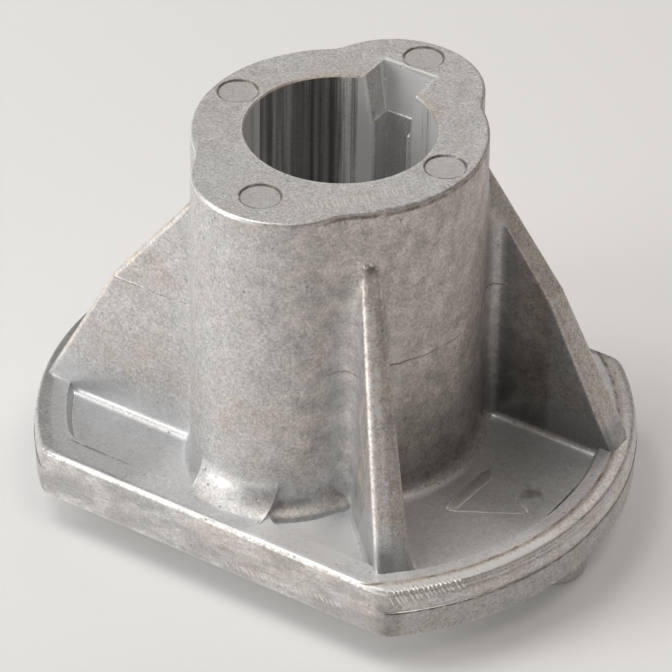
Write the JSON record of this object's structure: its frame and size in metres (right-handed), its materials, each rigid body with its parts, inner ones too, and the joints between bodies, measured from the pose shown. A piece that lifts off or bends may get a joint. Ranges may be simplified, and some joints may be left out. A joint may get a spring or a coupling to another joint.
{
  "type": "blade holder",
  "caption": "Cast blade holder for a walk-behind mower: tall keyed hub on a flat flange, stiffened by walls and ribs, with drive lugs under the flange.",
  "frame": {"origin": "on the bore axis, in the plane of the blade's seat under the flange", "axes": "+Z along the bore, up the hub; +Y from the bore towards the keyway; +X along the flange's flats, through a drive lug"},
  "size_m": [0.0728, 0.0544, 0.051],
  "materials": {
    "cast_aluminium": "die-cast, tumbled, matt with a fine grain"
  },
  "bodies": {
    "root": {"blade_holder": "cast_aluminium"}
  },
  "joints": []
}
